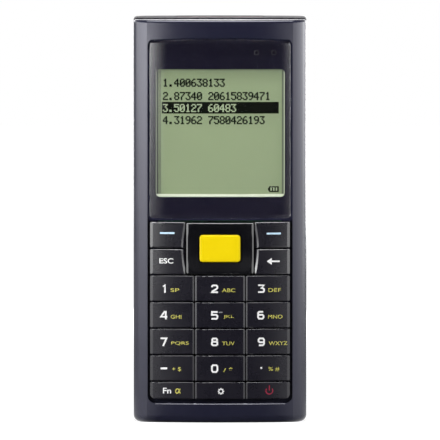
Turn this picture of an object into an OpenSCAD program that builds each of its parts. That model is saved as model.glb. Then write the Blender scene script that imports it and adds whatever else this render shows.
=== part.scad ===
// Handheld barcode data terminal, standing on its bottom end.
// X runs across the keypad, the display faces -Y, and Z runs up the length.

/* [Body] */
// Overall height, bottom end to top end
body_h = 136; // [130:0.5:145]
// Overall width across the long sides
body_w = 58.2; // [57.4:0.1:59]
// Thickness through the scanner head
head_d = 30; // [29:0.5:34]
// Thickness through the grip
grip_d = 24; // [23.5:0.5:25]
// Radius of the front face, side to side
face_r = 120; // [110:5:160]
// Radius of the back, side to side
back_r = 160; // [140:5:200]
// Depth of the front shell
front_shell_d = 11; // [10.8:0.1:11.4]
// Wall thickness of both shells
wall = 2; // [1.6:0.1:2.2]
// Rounding of the top end's edges
top_edge_r = 1; // [0.6:0.1:1.4]
// Rounding of the bottom end's edges
bottom_edge_r = 2.4; // [1.6:0.1:3]
// How much lower the front shell's top end lies than the back shell's
top_step = 0.4; // [0.2:0.1:0.6]

/* [Display] */
// Width of the display lens
lens_w = 47.4; // [46:0.1:47.6]
// Height of the lens's lower edge above the bottom end
lens_bottom = 68.9; // [68.6:0.1:69.4]
// Height of the middle of the lens's arched top edge
lens_top = 129.1; // [128:0.1:129.6]
// Width of the clear window in the lens
window_w = 43.5; // [42:0.1:44]
// Lower edge of the clear window
window_bottom = 75.8; // [75:0.1:78]
// Upper edge of the clear window
window_top = 119.2; // [117:0.1:121]

/* [Keypad] */
// Top edge of the keypad
keypad_top = 67.7; // [67.4:0.1:67.9]
// Bottom edge of the keypad
keypad_bottom = 8; // [7.6:0.1:8.6]
// Width across all three columns
keypad_w = 47; // [46:0.1:47.4]
// Width of the middle column
middle_key_w = 17.2; // [16:0.1:18]
// Distance from one row of keys to the next
row_pitch = 8.96; // [8.8:0.02:9]
// Gap between neighbouring keys
key_gap = 0.35; // [0.3:0.01:0.4]
// How far a key goes in
key_travel = 0.6; // [0.4:0.1:0.6]

/* [Navigation] */
// Width of the navigation ring
nav_w = 22.6; // [22:0.1:23.2]
// Height of the navigation ring
nav_h = 17.3; // [17:0.1:17.8]
// Width of the scan key
scan_w = 13.7; // [13:0.1:14.4]
// Height of the scan key
scan_h = 9.1; // [8.6:0.1:9.5]
// Radius of the scoops that the side keys leave round the ring
scoop_r = 32; // [28:1:36]

/* [Battery door] */
// Width of the battery door
door_w = 47; // [46:0.5:47]
// Lower edge of the battery door
door_bottom = 9.1; // [8.9:0.1:9.4]
// Upper edge of the battery door
door_top = 72; // [70:0.5:72.5]
// Wall thickness of the battery door
door_t = 1.8; // [1.6:0.1:1.8]
// How far the latch slides to lock
latch_travel = 2.2; // [1.8:0.1:2.4]

/* [Hidden] */
$fn = 48;
big_fn = 360;
far = 60;
joint = 0.01;

// depths, counted from the middle of the head
front_y = -head_d / 2;
head_y = head_d / 2;
grip_y = front_y + grip_d;
split_y = front_y + front_shell_d;
front_h = body_h - top_step;
face_axis_y = front_y + face_r;

// stack behind the display
lens_back_y = front_y + 3.4;
film_t = 0.2;
lens_ledge_y = lens_back_y + film_t;
lens_ledge_t = 1;
lcd_y = lens_ledge_y + 1.1;
lcd_t = 1.8;

// stack behind the keypad
cap_back_y = front_y + 4.4;
post_r = 1.5;
post_end_y = front_y + 8.1;
collar_y = cap_back_y + key_travel + 0.3;
mat_y = collar_y + 1;
mat_t = 1.2;
board_y = front_y + 9.2;
board_t = 1.2;
dome_sheet_t = 0.2;

// columns and rows of the keypad
column_x = [-keypad_w / 2, -middle_key_w / 2, middle_key_w / 2, keypad_w / 2];
nav_z = keypad_top - row_pitch;
side_key_inner_x = nav_w / 2 + 0.45;

// name, column and row of each key; rows count down from the top
KEYS = [
    ["key_soft_left", 0, 0], ["key_soft_right", 2, 0],
    ["key_escape", 0, 1], ["key_back", 2, 1],
    ["key_1", 0, 2], ["key_2", 1, 2], ["key_3", 2, 2],
    ["key_4", 0, 3], ["key_5", 1, 3], ["key_6", 2, 3],
    ["key_7", 0, 4], ["key_8", 1, 4], ["key_9", 2, 4],
    ["key_minus", 0, 5], ["key_0", 1, 5], ["key_dot", 2, 5],
    ["key_function", 0, 6], ["key_backlight", 1, 6], ["key_power", 2, 6],
];

housing_color = [0.2, 0.2, 0.25];
key_color = [0.15, 0.14, 0.18];
steel = [0.7, 0.7, 0.72];
brass = [0.8, 0.65, 0.3];

// ---- shared shapes ----

// how far a crowned surface of radius r drops at x from the middle
function drop(r, x) = r - sqrt(r * r - x * x);

// the face's depth at x
function face_at(x) = front_y + drop(face_r, x);

// The long edges are arcs that meet a crowned face at seam_x with a faint crease
seam_x = 24.6;
slab_x = 23.2;
front_crease = 6;
back_crease = 3;
function seam_angle(r) = asin(seam_x / r) + (r == face_r ? front_crease : back_crease);
function edge_r(r) = (body_w / 2 - seam_x) / (1 - sin(seam_angle(r)));
function edge_drop(r) = drop(r, seam_x) + edge_r(r) * cos(seam_angle(r));

// solid of revolution about Z with rounded rims
module barrel(radius, z0, z1, low, high) {
    rotate_extrude($fn = radius > 20 ? big_fn : 64) {
        translate([0, z0]) square([radius - low, low]);
        translate([0, z0 + low]) square([radius, z1 - z0 - low - high]);
        translate([0, z1 - high]) square([radius - high, high]);
        translate([radius - low, z0 + low]) circle(r = low);
        translate([radius - high, z1 - high]) circle(r = high);
    }
}

// flat plate outline seen from the front, with one corner radius for each end
module plate(half_w, z0, z1, low, high) {
    translate([-half_w + low, z0]) square([2 * (half_w - low), low]);
    translate([-half_w, z0 + low]) square([2 * half_w, z1 - z0 - low - high]);
    translate([-half_w + high, z1 - high]) square([2 * (half_w - high), high]);
    for (side = [-1, 1]) {
        translate([side * (half_w - low), z0 + low]) circle(r = low);
        translate([side * (half_w - high), z1 - high]) circle(r = high);
    }
}

// extrudes a front outline through the depth from y0 to y1
module across(y0, y1) {
    translate([0, y1, 0]) rotate([90, 0, 0]) linear_extrude(y1 - y0) children();
}

// round rod along Y
module rod_y(x, z, y0, y1, r) {
    translate([x, y0, z]) rotate([-90, 0, 0]) cylinder(h = y1 - y0, r = r);
}

// round rod along X
module rod_x(y, z, x0, x1, r) {
    translate([x0, y, z]) rotate([0, 90, 0]) cylinder(h = x1 - x0, r = r);
}

// box given by its two corners
module block(a, b) {
    translate(a) cube(b - a);
}

// long body with a crowned face towards +Y and rounded long edges and ends
module crowned_body(crown_r, crown_y, inset, low, high, top = body_h) {
    z0 = inset;
    z1 = top - inset;
    intersection() {
        translate([0, crown_y - crown_r, 0]) barrel(crown_r - inset, z0, z1, low, high);
        union() {
            block([-slab_x, -far, z0], [slab_x, far, z1]);
            for (side = [-1, 1])
                translate([side * (body_w / 2 - edge_r(crown_r)), crown_y - edge_drop(crown_r), 0])
                    barrel(edge_r(crown_r) - inset, z0, z1, low, high);
            across(-far, crown_y - edge_drop(crown_r)) plate(body_w / 2 - inset, z0, z1, low, high);
        }
    }
}

// underside of the head's bulge, which slopes at 45 degrees into the grip
module bulge_profile(inset) {
    round_r = 8;
    foot_z = 88;
    tangent = round_r * tan(22.5);
    top_y = head_y - inset;
    z = foot_z + inset * (sqrt(2) - 1);
    rotate([90, 0, 90]) translate([0, 0, -far]) linear_extrude(2 * far) {
        polygon([
            [-far, z + far + head_y], [-far, z - far - top_y], [top_y - tangent * sin(45), z - tangent * cos(45)],
            [top_y, z + tangent], [top_y, z + far + head_y],
        ]);
        translate([top_y - round_r, z + tangent]) circle(r = round_r, $fn = 96);
    }
}

// everything behind the split, grown inwards by inset
module rear_form(inset, low, high) {
    intersection() {
        block([-far, split_y, -1], [far, far, body_h + 1]);
        union() {
            crowned_body(back_r, grip_y, inset, low, high);
            intersection() {
                crowned_body(back_r, head_y, inset, low, high);
                bulge_profile(inset);
            }
        }
    }
}

// everything in front of the split, grown inwards by inset
module front_form(inset, low, high) {
    intersection() {
        block([-far, -far, -1], [far, split_y, body_h + 1]);
        mirror([0, 1, 0]) crowned_body(face_r, -front_y, inset, low, high, front_h);
    }
}

// opening of the front shell and outline of the lens share one arched top
module arched_plate(half_w, z0, z1, low, high) {
    arch_r = 360;
    intersection() {
        plate(half_w, z0, z1, low, high);
        translate([0, z1 - arch_r]) circle(r = arch_r, $fn = 720);
    }
}

// ---- shells ----

boss_low = [17, 4.6];
boss_high = [21, 131.6];
board_boss_x = 24.4;
board_boss_z = [12, 69.1];
screw_seat_y = 1;
screw_r = 1;
opening_half_w = 24.35;
opening_corner = 3;
lens_corner = 2.4;
opening_bottom = 6.6;
opening_top = 129.7;
bar_bottom = 68.05;
bar_top = 70.2;
lip = 0.35;

// chamfer along the lower lip of the opening, which follows the crown
module lip_chamfer() {
    reach = opening_half_w - 2.4;
    intersection() {
        translate([0, face_axis_y, 0]) rotate_extrude($fn = big_fn) translate([face_r, opening_bottom])
            polygon([[-lip - 0.2, 0.2], [0.5, -lip - 0.5], [0.5, 0.2]]);
        block([-reach, front_y - 1, 0], [reach, front_y + 5, opening_bottom + 1]);
    }
}

module front_housing() {
    color(housing_color) difference() {
        union() {
            difference() {
                front_form(0, bottom_edge_r, top_edge_r);
                front_form(wall, 0.6, 0.6);
                block([-27, split_y - 0.5, wall + 0.2], [27, split_y + 1, front_h - wall - 0.2]);
                across(front_y - 1, split_y)
                    arched_plate(opening_half_w, opening_bottom, opening_top, 2.4, opening_corner);
            }
            intersection() {
                front_form(wall / 2, 0.6, 0.6);
                union() {
                    // ledge that the lens is stuck to, as deep as the wall above the opening
                    across(lens_ledge_y, lens_ledge_y + lens_ledge_t) difference() {
                        plate(28.5, bar_bottom, opening_top + 1, 1, 1);
                        plate(22.6, bar_top, 127.2, 1, 1);
                    }
                    across(front_y, lens_ledge_y + lens_ledge_t) difference() {
                        plate(28.5, opening_top - 3, body_h, 1, 1);
                        arched_plate(opening_half_w, opening_bottom, opening_top, 2.4, opening_corner);
                    }
                    // ledge that holds the rim of the keypad mat
                    across(collar_y, mat_y) difference() {
                        plate(28.5, wall, bar_bottom + 1, 1, 1);
                        plate(21.2, 8.3, bar_bottom, 1, 1);
                    }
                    for (side = [-1, 1]) {
                        rod_y(side * boss_low[0], boss_low[1], front_y, split_y, 2.3);
                        rod_y(side * boss_high[0], boss_high[1], front_y, split_y, 2.3);
                        for (z = board_boss_z) rod_y(side * board_boss_x, z, mat_y - 1.2, board_y, 1.8);
                    }
                }
            }
        }
        lip_chamfer();
        for (side = [-1, 1]) {
            rod_y(side * boss_low[0], boss_low[1], -10.6, split_y + 1, screw_r);
            rod_y(side * boss_high[0], boss_high[1], -10.6, split_y + 1, screw_r);
            for (z = board_boss_z) rod_y(side * board_boss_x, z, -9.4, board_y + 1, 0.8);
        }
    }
}

// battery bay and door recess in the back shell
bay_floor_y = -1.4;
bay_half_w = 22;
bay_bottom = 14.2;
bay_top = 70;
recess_gap = 0.25;
recess_d = 1.9;
hinge_y = 5;
hinge_drop = 3.1;
hinge_z = door_bottom + hinge_drop;
door_gap = 0.3;
pin_r = 0.9;
pin_bore_r = 0.95;

// room for the door's lower edge to swing: that edge turned about the hinge axis
function edge_reach(x) = norm([grip_y - drop(back_r, x) - hinge_y, hinge_drop]) + door_gap;

module hinge_relief() {
    half_w = door_w / 2 + 0.15;
    intersection() {
        translate([0, hinge_y, hinge_z]) rotate([0, 90, 0]) rotate_extrude($fn = 96)
            polygon(concat(
                [[0, half_w], [0, -half_w]],
                [for (i = [-3:3]) [edge_reach(i * half_w / 3), i * half_w / 3]]
            ));
        block([-far, hinge_y - 3.4, 0], [far, far, bay_bottom + 0.1]);
    }
}

// pocket in the lower right corner, bridged by the strap pin
strap_pin_r = 0.9;
strap_reach = edge_r(back_r) - strap_pin_r - 0.65;
strap_x = body_w / 2 - edge_r(back_r) + strap_reach * cos(45);
strap_y = grip_y - edge_drop(back_r) + strap_reach * sin(45);
strap_z0 = 2.9;
strap_z1 = 7.2;
strap_end = 1.3;

module strap_rod() {
    translate([strap_x, strap_y, strap_z0 - strap_end])
        cylinder(h = strap_z1 - strap_z0 + 2 * strap_end, r = strap_pin_r);
}

module strap_pocket() {
    translate([strap_x + 0.7, strap_y + 0.7, strap_z0]) cylinder(h = strap_z1 - strap_z0, r = 4);
}

grille_z = 100;
grille_pitch = 2.4;
window_half_w = 14.6;
window_y = [0.6, 12];

module speaker_slots() {
    slot_r = 0.45;
    for (i = [-2:2]) {
        half = sqrt(36 - pow(i * grille_pitch, 2)) - slot_r;
        across(head_y - 4, head_y + 1) translate([0, grille_z + i * grille_pitch]) {
            translate([-half, -slot_r]) square([2 * half, 2 * slot_r]);
            for (side = [-1, 1]) translate([side * half, 0]) circle(r = slot_r);
        }
    }
}

module rear_housing() {
    color(housing_color) difference() {
        rear_form(0, bottom_edge_r, top_edge_r);
        // hollow of the head and the shallow space behind the board
        difference() {
            intersection() {
                rear_form(wall, 0.6, 0.6);
                union() {
                    block([-far, -far, 76], [far, far, body_h]);
                    block([-far, -far, 0], [far, bay_floor_y - 1.2, 80]);
                    for (side = [-1, 1])
                        block([side > 0 ? 23.8 : -far, -far, 16], [side > 0 ? far : -23.8, 1.5, 80]);
                }
            }
            for (side = [-1, 1]) {
                rod_y(side * boss_high[0], boss_high[1], split_y, head_y, 3.4);
                rod_y(side * boss_low[0], boss_low[1], split_y, grip_y, 3.4);
                rod_y(side * 7, 123, 11.5, head_y, 1.6);
            }
            // collar that the speaker sits in
            difference() {
                rod_y(0, grille_z, 9.4, head_y, 8.2);
                rod_y(0, grille_z, 9, head_y + 1, 7.1);
            }
            // thicker frame under the scan window
            block([-17, -1.5, 132.6], [17, head_y, body_h]);
        }
        // battery bay, and the recess that the door closes
        block([-bay_half_w, bay_floor_y, bay_bottom], [bay_half_w, far, bay_top]);
        difference() {
            across(0, head_y)
                plate(door_w / 2 + recess_gap, door_bottom - door_gap, door_top + recess_gap, 1, 4.2);
            crowned_body(back_r, grip_y, recess_d, 0.6, 0.6);
        }
        hinge_relief();
        for (side = [-1, 1]) {
            rod_x(hinge_y, hinge_z, side > 0 ? 20.2 : -23.7, side > 0 ? 23.7 : -20.2, 2.2);
            rod_x(hinge_y, hinge_z, side > 0 ? 23.5 : -25.8, side > 0 ? 25.8 : -23.5, pin_bore_r);
        }
        // slot that the latch tongue slides into, open to the bay below
        block([-6, 5.5, bay_top - 1], [6, 7.15, door_top + 2.8]);
        // screw wells
        for (side = [-1, 1]) {
            rod_y(side * boss_low[0], boss_low[1], screw_seat_y, far, 2.1);
            rod_y(side * boss_high[0], boss_high[1], screw_seat_y, far, 2.1);
            rod_y(side * boss_low[0], boss_low[1], split_y - 1, 2, 1.2);
            rod_y(side * boss_high[0], boss_high[1], split_y - 1, 2, 1.2);
        }
        // scan window seat and aperture
        block([-window_half_w, window_y[0], 134.6], [window_half_w, window_y[1], body_h + 1]);
        block([-12.8, 2.2, 131], [12.8, 10.4, body_h]);
        speaker_slots();
        // slots for the battery contact blades
        for (x = [-6, 0, 6]) block([x - 0.8, -3, 69.3], [x + 0.8, 0, 70.1]);
        for (x = [-9, -3, 3, 9]) translate([x, 2, -1]) cylinder(h = 4.5, r = 1);
        strap_pocket();
        strap_rod();
        // groove for the housing seal
        across(split_y - 1, split_y + 0.8) difference() {
            plate(body_w / 2 - 0.6, 0.6, body_h - 0.6, 2, 0.8);
            plate(body_w / 2 - 1.4, 1.4, body_h - 1.4, 1.2, 0.4);
        }
    }
}

module housing_seal() {
    color([0.1, 0.1, 0.1]) across(split_y, split_y + 0.8) difference() {
        plate(body_w / 2 - 0.6, 0.6, body_h - 0.6, 2, 0.8);
        plate(body_w / 2 - 1.4, 1.4, body_h - 1.4, 1.2, 0.4);
    }
}

// cross-recessed pan head screw along Y, head at the back
module screw(x, z, seat_y, tip_y, shank_r, head_r, head_h) {
    difference() {
        union() {
            rod_y(x, z, tip_y, seat_y, shank_r);
            rod_y(x, z, seat_y, seat_y + head_h, head_r);
        }
        for (turn = [0, 90]) translate([x, seat_y + head_h, z]) rotate([0, turn, 0])
            cube([head_r * 1.2, head_h, head_r * 0.3], center = true);
    }
}

module housing_screws() {
    color(steel) for (side = [-1, 1], boss = [boss_low, boss_high])
        screw(side * boss[0], boss[1], screw_seat_y, -10.4, screw_r, 1.8, 1.3);
}

// ---- display ----

module display_lens() {
    color([0.08, 0.08, 0.1]) intersection() {
        translate([0, face_axis_y, 0]) barrel(face_r, lens_bottom, lens_top + 1, 0.4, 0.4);
        across(front_y - 1, lens_back_y) arched_plate(lens_w / 2, lens_bottom, lens_top, 0.8, lens_corner);
    }
}

led_x = [12.2, 18];
led_z = 124.6;

module lens_film() {
    color([0.05, 0.05, 0.06]) across(lens_back_y, lens_ledge_y) difference() {
        arched_plate(lens_w / 2 - 0.2, lens_bottom + 0.2, lens_top - 0.2, 0.8, lens_corner);
        plate(window_w / 2, window_bottom, window_top, 0.9, 0.9);
        for (x = led_x) translate([x, led_z]) circle(r = 0.8);
    }
}

module lcd_frame() {
    lip_x = window_w / 2 - 0.35;
    color([0.75, 0.77, 0.72]) difference() {
        union() {
            across(lens_ledge_y + 0.1, lcd_y) plate(22.3, 70.5, 126.9, 0.8, 0.8);
            across(lcd_y, board_y) plate(24.2, 71.2, 127.2, 0.8, 0.8);
        }
        across(front_y, lcd_y + 1) plate(lip_x, window_bottom + 0.7, window_top - 0.2, 0.6, 0.6);
        across(lcd_y, board_y + 1) plate(23.4, 72.1, 126.3, 0.5, 0.5);
        for (x = led_x) rod_y(x, led_z, front_y, lcd_y + 1, 0.75);
    }
}

module lcd_panel() {
    color([0.56, 0.63, 0.5]) {
        across(lcd_y, lcd_y + lcd_t / 2) plate(23.2, 75, 122.5, 0.3, 0.3);
        across(lcd_y + lcd_t / 2, lcd_y + lcd_t) plate(23.2, 73, 122.5, 0.3, 0.3);
    }
}

module lcd_backlight() {
    color([0.9, 0.92, 0.88]) across(lcd_y + lcd_t, board_y - 0.1) plate(23.2, 73, 122.5, 0.5, 0.5);
}

module lcd_flex() {
    color([0.75, 0.5, 0.2]) {
        block([-10, lcd_y + lcd_t / 2 - 0.15, 72.4], [10, lcd_y + lcd_t / 2, 75]);
        block([-10, lcd_y + lcd_t / 2 - 0.15, 72.3], [10, board_y, 72.5]);
    }
}

module status_leds() {
    color([0.85, 0.85, 0.8]) for (x = led_x) {
        rod_y(x, led_z, lens_ledge_y - 0.1, lcd_y, 0.75);
        rod_y(x, led_z, lcd_y, board_y, 1.4);
    }
}

// ---- keypad ----

// left, right, lower and upper edge of the cell of a key
function cell(col, row) = let (
    half = key_gap / 2,
    wide = row < 2,
    z1 = keypad_top - row * row_pitch - (row == 0 ? 0 : half),
    z0 = row == 6 ? keypad_bottom : keypad_top - (row + 1) * row_pitch + half,
    x0 = wide && col == 2 ? side_key_inner_x : column_x[col] + (col == 0 ? 0 : half),
    x1 = wide && col == 0 ? -side_key_inner_x : column_x[col + 1] - (col == 2 ? 0 : half)
) [x0, x1, z0, z1];

// the rims of the upper caps are rounder than those of the number keys
function cap_edge(row) = row < 2 ? 0.6 : 0.4;
cap_corner = 0.5;

// shallow bevel down the sides of a cap
bevel_w = 0.5;
bevel_d = 0.22;

// cap between x0 and x1, z0 and z1, that follows the crowned face
module cap(x0, x1, z0, z1, edge) {
    in0 = x0 + 2 * bevel_w;
    in1 = x1 - 2 * bevel_w;
    intersection() {
        translate([0, face_axis_y, 0]) barrel(face_r, z0, z1, edge, edge);
        translate([0, 0, z0]) linear_extrude(z1 - z0) polygon([
            [x0, cap_back_y], [x0, face_at(x0) + bevel_d], [in0, face_at(x0) - bevel_d], [in0, front_y - 1],
            [in1, front_y - 1], [in1, face_at(x1) - bevel_d], [x1, face_at(x1) + bevel_d], [x1, cap_back_y],
        ]);
        children();
    }
}

module key_post(x, z) {
    rod_y(x, z, cap_back_y - joint, post_end_y, post_r);
}

// scoop that the side keys have towards the navigation ring: a shallow edge, then a steep wall
module nav_scoop(side) {
    reach = side_key_inner_x + 1.25;
    edge_d = 0.25;
    edge_slope = 2.2;
    wall_slope = 1;
    above = 2;
    foot_r = scoop_r - edge_d * edge_slope;
    translate([side * (reach - scoop_r), front_y + drop(face_r, reach), nav_z]) rotate([-90, 0, 0])
        rotate_extrude($fn = big_fn) polygon([
            [0, -above], [scoop_r + above * edge_slope, -above], [foot_r, edge_d],
            [foot_r - above * wall_slope, edge_d + above], [0, edge_d + above],
        ]);
}

module key_cap(key) {
    edges = cell(key[1], key[2]);
    x = (edges[0] + edges[1]) / 2;
    z = (edges[2] + edges[3]) / 2;
    color(key_color) {
        difference() {
            cap(edges[0], edges[1], edges[2], edges[3], cap_edge(key[2]))
                across(front_y - 2, cap_back_y) intersection() {
                    translate([x, 0]) plate((edges[1] - edges[0]) / 2, edges[2], edges[3], cap_corner, cap_corner);
                    plate(keypad_w / 2, keypad_bottom, keypad_top, 1.8, cap_corner);
                }
            if (key[2] < 2) nav_scoop(sign(x));
        }
        key_post(x, z);
    }
}

module scan_key() {
    color([0.97, 0.85, 0.05]) {
        cap(-scan_w / 2, scan_w / 2, nav_z - scan_h / 2, nav_z + scan_h / 2, 0.6)
            across(front_y - 2, cap_back_y) translate([0, nav_z])
                plate(scan_w / 2, -scan_h / 2, scan_h / 2, 1.2, 1.2);
        key_post(0, nav_z);
    }
}

nav_back_y = cap_back_y - 0.2;
nav_axis_y = nav_back_y + 0.35;
nav_plate_y = [nav_back_y + 0.9, nav_back_y + 1.5];

// dished ring round the scan key
module nav_ring() {
    half_h = nav_h / 2;
    dish_r = 70;
    color([0.05, 0.05, 0.06]) {
        difference() {
            cap(-nav_w / 2, nav_w / 2, nav_z - half_h, nav_z + half_h, 0.6)
                across(front_y - 1, nav_back_y) translate([0, nav_z]) plate(nav_w / 2, -half_h, half_h, 1, 0.6);
            across(front_y - 2, nav_back_y + 1) translate([0, nav_z])
                plate(scan_w / 2 + 0.4, -scan_h / 2 - 0.38, scan_h / 2 + 0.38, 1.5, 1.5);
            // the dish: a wide hollow inside the rim
            intersection() {
                translate([0, front_y + 1.5 - dish_r, nav_z]) sphere(r = dish_r, $fn = big_fn);
                across(front_y - 2, front_y + 4) translate([0, nav_z])
                    plate(nav_w / 2 - 0.45, -half_h + 0.9, half_h - 0.5, 3, 1);
            }
        }
        for (side = [-1, 1]) translate([0, nav_axis_y, nav_z + side * 7 - 0.6])
            cylinder(h = 1.2, r = 0.5);
    }
}

// web that carries the ring: it tilts up and down, and the ring tilts on it from side to side
module nav_plate() {
    middle_y = (nav_plate_y[0] + nav_plate_y[1]) / 2;
    color([0.3, 0.3, 0.32]) {
        across(nav_plate_y[0], nav_plate_y[1]) translate([0, nav_z]) difference() {
            plate(9.9, -8.2, 8.2, 1.5, 1.5);
            plate(7.6, -5.2, 5.2, 1.5, 1.5);
        }
        for (side = [-1, 1]) rod_x(middle_y, nav_z, side * 8.6 - 0.4, side * 8.6 + 0.4, mat_y - middle_y - 0.1);
    }
}

// where each key's post goes through the mat
function post_at(key) = let (edges = cell(key[1], key[2])) [(edges[0] + edges[1]) / 2, (edges[2] + edges[3]) / 2];

module keypad_mat() {
    posts = concat([for (key = KEYS) post_at(key)], [[0, nav_z]]);
    color([0.12, 0.12, 0.13]) difference() {
        union() {
            across(mat_y, mat_y + mat_t) plate(22.3, 7.2, 67.4, 1, 1);
            for (post = posts) rod_y(post[0], post[1], collar_y, mat_y + joint, 2.3);
            across(mat_y + mat_t - joint, board_y - dome_sheet_t) difference() {
                plate(22.3, 7.2, 67.4, 1, 1);
                plate(20.9, 8.6, 66, 0.6, 0.6);
            }
        }
        for (post = posts) rod_y(post[0], post[1], collar_y - 1, board_y, post_r + 0.05);
    }
}

module dome_sheet() {
    color([0.8, 0.8, 0.75]) across(board_y - dome_sheet_t, board_y) plate(22.2, 7.4, 67.2, 0.8, 0.8);
}

// ---- electronics ----

board_back_y = board_y + board_t;

module main_board() {
    color([0.05, 0.3, 0.15]) across(board_y, board_back_y) difference() {
        plate(26.2, 7.6, 128.4, 1.5, 1.5);
        for (side = [-1, 1], z = board_boss_z) translate([side * board_boss_x, z]) circle(r = 0.9);
    }
}

module board_chips() {
    color([0.15, 0.15, 0.17]) {
        block([-17, board_back_y, 78], [-5, board_back_y + 1.2, 90]);
        block([4, board_back_y, 80], [14, board_back_y + 1, 88]);
        block([-18, board_back_y, 22], [-8, board_back_y + 1, 30]);
        block([10, board_back_y, 54], [17, board_back_y + 1.1, 61]);
        block([-14, board_back_y, 60], [-6, board_back_y + 1, 66]);
    }
}

module shield_can() {
    color(steel) difference() {
        block([-11, board_back_y, 94], [11, board_back_y + 2.4, 113]);
        block([-10.7, board_back_y - 1, 94.3], [10.7, board_back_y + 2.1, 112.7]);
    }
}

module memory_card_socket() {
    color(steel) difference() {
        block([-7.2, board_back_y, 36], [7.2, board_back_y + 1.5, 51]);
        block([-5.8, board_back_y + 0.3, 37.5], [5.8, board_back_y + 1.2, 52]);
    }
}

module backup_cell() {
    color(steel) {
        rod_y(17, 119, board_back_y, board_back_y + 2.1, 5);
        rod_y(17, 119, board_back_y + 2.1, board_back_y + 2.4, 4.2);
    }
}

module board_screws() {
    color(steel) for (side = [-1, 1], z = board_boss_z)
        screw(side * board_boss_x, z, board_back_y, -9.2, 0.8, 1.5, 0.9);
}

// ---- scanner and sound ----

engine_y = [1.6, 11.5];

module scan_engine() {
    color([0.45, 0.46, 0.48]) difference() {
        union() {
            block([-10.6, engine_y[0], 116], [10.6, engine_y[1], 129.5]);
            block([-9, engine_y[0] + 1, 129.4], [9, engine_y[1] - 1, 130.8]);
        }
        translate([-4, 6.6, 126]) cylinder(h = 6, r = 3);
        translate([5, 6.6, 128]) cylinder(h = 4, r = 1.6);
        block([-12, engine_y[0] - 1, 119], [-9.6, engine_y[0] + 2, 126]);
        block([9.6, engine_y[0] - 1, 119], [12, engine_y[0] + 2, 126]);
    }
}

module scan_lens() {
    color([0.5, 0.2, 0.2]) translate([-4, 6.6, 126]) cylinder(h = 3, r = 3);
}

module scan_window() {
    color([0.3, 0.05, 0.06]) block([-window_half_w + 0.15, window_y[0] + 0.15, 135],
                                   [window_half_w - 0.15, window_y[1] - 0.15, 135.8]);
}

module window_gasket() {
    color([0.1, 0.1, 0.1]) difference() {
        block([-window_half_w + 0.15, window_y[0] + 0.15, 134.6], [window_half_w - 0.15, window_y[1] - 0.15, 135]);
        block([-12.8, 2.2, 134], [12.8, 10.4, 136]);
    }
}

module speaker() {
    color([0.2, 0.2, 0.22]) difference() {
        union() {
            rod_y(0, grille_z, 9.6, 12.7, 7);
            rod_y(0, grille_z, 8.4, 9.61, 4);
        }
        difference() {
            rod_y(0, grille_z, 12.2, 13, 6);
            rod_y(0, grille_z, 12, 12.5, 2.2);
        }
    }
}

// ---- power ----

module battery_pack() {
    color([0.12, 0.12, 0.14]) difference() {
        across(-1.2, 5.4) plate(21.5, 14.6, 69.5, 1, 1);
        for (x = [-6, 0, 6]) block([x - 1.2, -2, 69.2], [x + 1.2, 1.8, 70]);
    }
}

module battery_contacts() {
    color(brass) for (x = [-6, 0, 6]) {
        block([x - 0.6, board_back_y, 69.5], [x + 0.6, 1.6, 69.8]);
        block([x - 0.6, board_back_y, 66.5], [x + 0.6, board_back_y + 0.3, 69.51]);
    }
}

latch_z = 64;
latch_slot_half_w = 4.3;

module battery_door() {
    inner_y = grip_y - door_t;
    color(housing_color) {
        difference() {
            // shell that carries on the crowned back
            intersection() {
                crowned_body(back_r, grip_y, 0, bottom_edge_r, top_edge_r);
                across(0, far) plate(door_w / 2, door_bottom, door_top, 1, 4);
            }
            crowned_body(back_r, grip_y, door_t, 0.6, 0.6);
            // slot and thumb recess of the latch
            across(0, far) translate([0, latch_z]) plate(latch_slot_half_w, -2.4, 2.4 + latch_travel, 0.5, 0.5);
            across(grip_y - 0.9, far) translate([0, latch_z]) plate(8, -4.6, 4.6 + latch_travel, 1.5, 1.5);
            // relief for the tongue
            block([-6, inner_y - 1, 58], [6, inner_y + 0.1, door_top + 1]);
        }
        for (side = [-1, 1]) {
            x0 = side > 0 ? 20.6 : -23.2;
            rod_x(hinge_y, hinge_z, x0, x0 + 2.6, 1.6);
            block([x0, hinge_y - 0.4, hinge_z - 0.8], [x0 + 2.6, hinge_y + 1.7, hinge_z + 1.6]);
            rod_x(hinge_y, hinge_z, side > 0 ? 23.1 : -25.5, side > 0 ? 25.5 : -23.1, pin_r);
        }
    }
}

// thumb slide with its tongue inside the door
module door_latch() {
    neck_y = [grip_y - door_t - 0.2, grip_y - 0.75];
    color([0.25, 0.25, 0.3]) {
        difference() {
            across(grip_y - 0.75, grip_y + 0.6) translate([0, latch_z]) plate(6.5, -4, 4, 1, 1);
            for (i = [-2:2]) translate([0, grip_y + 0.9, latch_z + i * 1.5]) rotate([0, 90, 0])
                cylinder(h = 11, r = 0.65, center = true);
        }
        across(neck_y[0] - joint, neck_y[1] + joint) translate([0, latch_z]) plate(4, -2, 2, 0.4, 0.4);
        across(neck_y[0] - 1, neck_y[0]) plate(5.5, latch_z - 5, door_top - 0.3, 0.8, 0.8);
    }
}

module dock_contacts() {
    color(brass) for (x = [-9, -3, 3, 9]) translate([x, 2, 0.25]) cylinder(h = 3.25, r = 1);
}

module strap_pin() {
    color(steel) strap_rod();
}

front_housing();
rear_housing();
housing_seal();
housing_screws();
display_lens();
lens_film();
lcd_frame();
lcd_panel();
lcd_backlight();
lcd_flex();
status_leds();
keypad_mat();
dome_sheet();
nav_plate();
nav_ring();
scan_key();
main_board();
board_chips();
shield_can();
memory_card_socket();
backup_cell();
board_screws();
scan_engine();
scan_lens();
scan_window();
window_gasket();
speaker();
battery_pack();
battery_contacts();
battery_door();
door_latch();
dock_contacts();
strap_pin();
for (key = KEYS) key_cap(key);
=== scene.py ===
import math

import bmesh
import bpy
from mathutils import Matrix, Vector


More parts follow.
